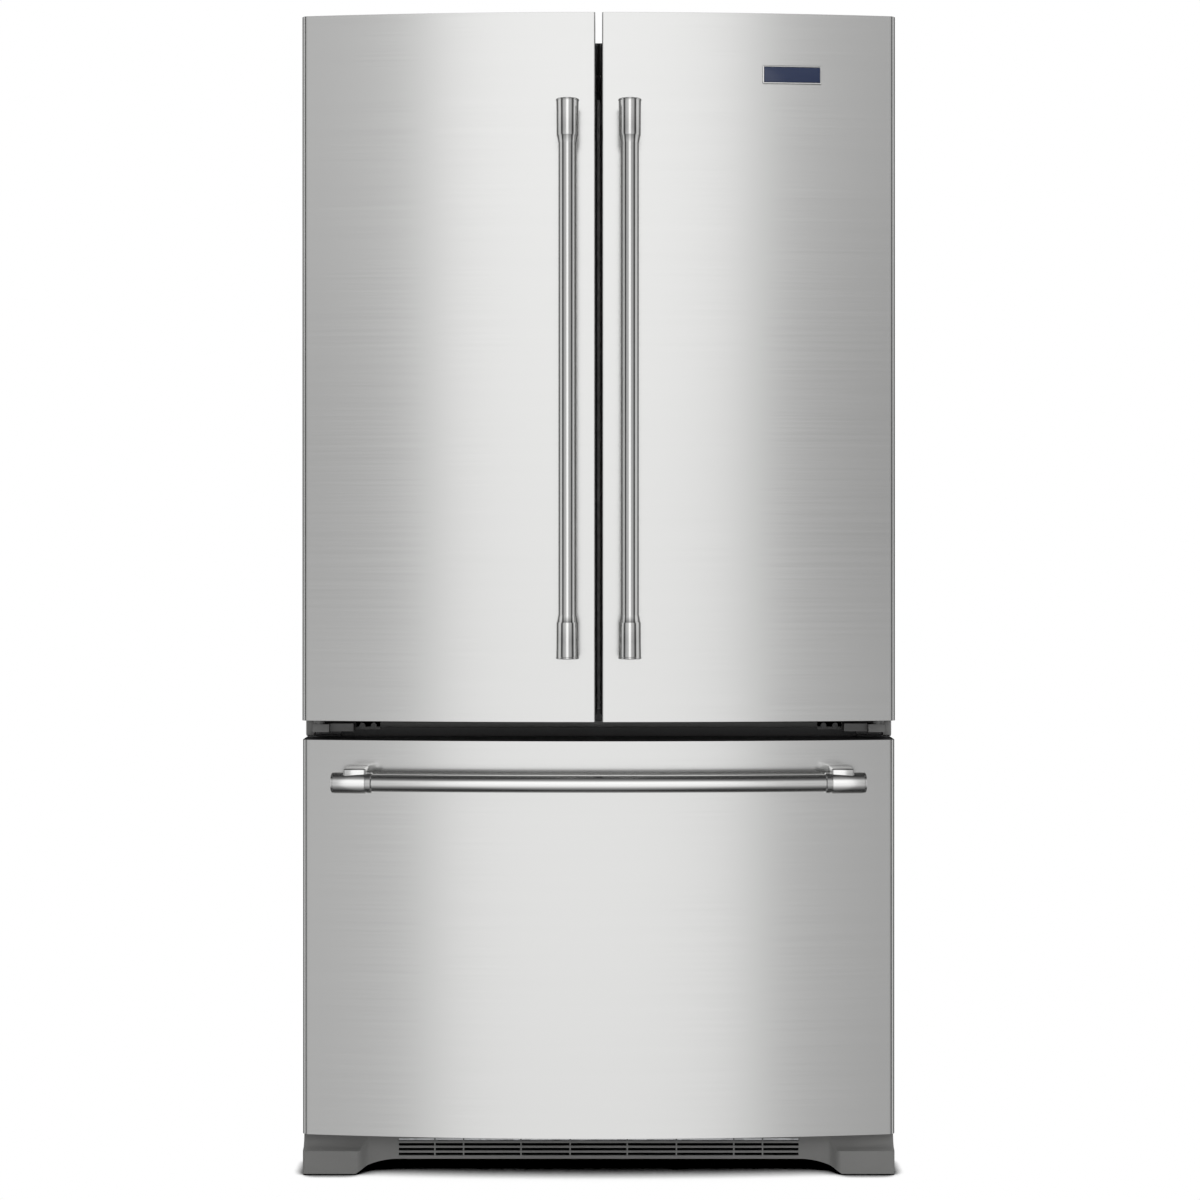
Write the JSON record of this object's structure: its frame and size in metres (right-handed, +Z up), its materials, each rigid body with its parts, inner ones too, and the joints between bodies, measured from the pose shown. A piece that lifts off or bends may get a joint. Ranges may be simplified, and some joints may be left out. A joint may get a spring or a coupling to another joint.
{
  "type": "french door refrigerator",
  "caption": "Stainless french door refrigerator with bowed fronts, bar handles, a bottom freezer drawer and a fitted interior.",
  "frame": {"origin": "centre of the bounding box's footprint, on the floor", "axes": "+Z up, -Y towards the person who opens the doors, +X to that person's right"},
  "size_m": [0.905, 0.91, 1.765],
  "materials": {
    "stainless_front": "satin",
    "handle_steel": "satin",
    "cabinet_paint": "satin",
    "liner_white": "satin",
    "trim_black": "satin",
    "gasket_grey": "matte",
    "grille_grey": "satin",
    "hinge_grey": "satin",
    "foam_cream": "matte",
    "clear_bin": "gloss",
    "shelf_glass": "polished",
    "zinc_steel": "satin",
    "black_enamel": "gloss",
    "evaporator_alloy": "satin",
    "wheel_plastic": "satin",
    "badge_metal": "satin",
    "shelf_trim": "satin",
    "button_silver": "satin"
  },
  "bodies": {
    "cabinet": {"cabinet_shell": "cabinet_paint", "insulation_foam": "foam_cream", "fridge_liner": "liner_white", "freezer_liner": "liner_white", "center_rail": "cabinet_paint", "rear_panel": "zinc_steel", "machine_cover": "zinc_steel", "base_frame": "zinc_steel", "base_grille": "grille_grey", "compressor": "black_enamel", "condenser_assembly": "black_enamel", "water_valve": "liner_white", "top_hinges": "zinc_steel", "hinge_covers": "grille_grey", "center_hinges": "hinge_grey", "air_duct_cover": "liner_white", "control_panel": "liner_white", "glass_shelves": "shelf_glass", "shelf_frames": "shelf_trim", "evaporator_assembly": "evaporator_alloy", "evaporator_cover": "liner_white", "ice_maker": "liner_white", "slide_outer_rails": "zinc_steel"},
    "left_door": {"left_door_skin": "stainless_front", "left_door_core": "foam_cream", "left_door_liner": "liner_white", "left_door_gasket": "gasket_grey", "left_door_caps": "trim_black", "left_handle": "handle_steel", "left_door_bins": "clear_bin"},
    "flipper_mullion": {"flipper_mullion": "trim_black"},
    "right_door": {"right_door_skin": "stainless_front", "right_door_core": "foam_cream", "right_door_liner": "liner_white", "right_door_gasket": "gasket_grey", "right_door_caps": "trim_black", "right_handle": "handle_steel", "right_door_bins": "clear_bin", "badge": "badge_metal"},
    "dairy_lid": {"dairy_lid": "clear_bin"},
    "freezer_drawer": {"drawer_skin": "stainless_front", "drawer_core": "foam_cream", "drawer_liner": "trim_black", "drawer_gasket": "gasket_grey", "drawer_handle": "handle_steel", "freezer_basket": "liner_white", "slide_inner_rails": "zinc_steel"},
    "slide_middle_rails": {"slide_middle_rails": "zinc_steel"},
    "freezer_tray": {"freezer_tray": "clear_bin"},
    "left_crisper": {"left_crisper": "clear_bin"},
    "right_crisper": {"right_crisper": "clear_bin"},
    "deli_drawer": {"deli_drawer": "clear_bin"},
    "ice_maker_arm": {"ice_maker_arm": "zinc_steel"},
    "condenser_fan": {"condenser_fan": "wheel_plastic"},
    "evaporator_fan": {"evaporator_fan": "wheel_plastic"},
    "front_rollers": {"front_rollers": "wheel_plastic"},
    "rear_rollers": {"rear_rollers": "wheel_plastic"},
    "left_levelling_foot": {"left_levelling_foot": "black_enamel"},
    "right_levelling_foot": {"right_levelling_foot": "black_enamel"},
    "temperature_button": {"temperature_button": "button_silver"}
  },
  "joints": [
    {"name": "left_door_hinge", "type": "hinge", "parent": "cabinet", "child": "left_door", "pos_m": [-0.4305, -0.326, 1.2], "axis": [0, 0, -1], "range_deg": [0, 120]},
    {"name": "right_door_hinge", "type": "hinge", "parent": "cabinet", "child": "right_door", "pos_m": [0.4305, -0.326, 1.2], "axis": [0, 0, 1], "range_deg": [0, 120]},
    {"name": "flipper_hinge", "type": "hinge", "parent": "left_door", "child": "flipper_mullion", "pos_m": [-0.033, -0.2635, 1.2], "axis": [0, 0, -1], "range_deg": [0, 90]},
    {"name": "dairy_lid_hinge", "type": "hinge", "parent": "right_door", "child": "dairy_lid", "pos_m": [0.214, -0.223, 1.642], "axis": [1, 0, 0], "range_deg": [0, 50]},
    {"name": "freezer_drawer_slide", "type": "slide", "parent": "cabinet", "child": "freezer_drawer", "axis": [0, -1, 0], "range_m": [0, 0.42]},
    {"name": "middle_rail_slide", "type": "slide", "parent": "cabinet", "child": "slide_middle_rails", "axis": [0, -1, 0], "range_m": [0, 0.21]},
    {"name": "freezer_tray_slide", "type": "slide", "parent": "freezer_drawer", "child": "freezer_tray", "axis": [0, -1, 0], "range_m": [0, 0.19]},
    {"name": "left_crisper_slide", "type": "slide", "parent": "cabinet", "child": "left_crisper", "axis": [0, -1, 0], "range_m": [0, 0.06]},
    {"name": "right_crisper_slide", "type": "slide", "parent": "cabinet", "child": "right_crisper", "axis": [0, -1, 0], "range_m": [0, 0.1]},
    {"name": "deli_drawer_slide", "type": "slide", "parent": "cabinet", "child": "deli_drawer", "axis": [0, -1, 0], "range_m": [0, 0.06]},
    {"name": "ice_maker_arm_hinge", "type": "hinge", "parent": "cabinet", "child": "ice_maker_arm", "pos_m": [-0.262, 0.056, 0.59], "axis": [1, 0, 0], "range_deg": [0, 10]},
    {"name": "condenser_fan_spin", "type": "hinge", "parent": "cabinet", "child": "condenser_fan", "pos_m": [-0.101, 0.33, 0.146], "axis": [1, 0, 0], "continuous": true},
    {"name": "evaporator_fan_spin", "type": "hinge", "parent": "cabinet", "child": "evaporator_fan", "pos_m": [0, 0.353, 0.59], "axis": [0, 1, 0], "continuous": true},
    {"name": "front_roller_spin", "type": "hinge", "parent": "cabinet", "child": "front_rollers", "pos_m": [0, -0.215, 0.0235], "axis": [1, 0, 0], "continuous": true},
    {"name": "rear_roller_spin", "type": "hinge", "parent": "cabinet", "child": "rear_rollers", "pos_m": [0, 0.42, 0.025], "axis": [1, 0, 0], "continuous": true},
    {"name": "left_foot_turn", "type": "hinge", "parent": "cabinet", "child": "left_levelling_foot", "pos_m": [-0.405, -0.257, 0.03], "axis": [0, 0, 1], "continuous": true},
    {"name": "right_foot_turn", "type": "hinge", "parent": "cabinet", "child": "right_levelling_foot", "pos_m": [0.405, -0.257, 0.03], "axis": [0, 0, 1], "continuous": true},
    {"name": "temperature_button_press", "type": "slide", "parent": "cabinet", "child": "temperature_button", "axis": [0, 1, 0], "range_m": [0, 0.003], "stiffness_N_per_m": 300}
  ],
  "couplings": [
    {"joint": "middle_rail_slide", "follows": "freezer_drawer_slide", "ratio": 0.5}
  ]
}
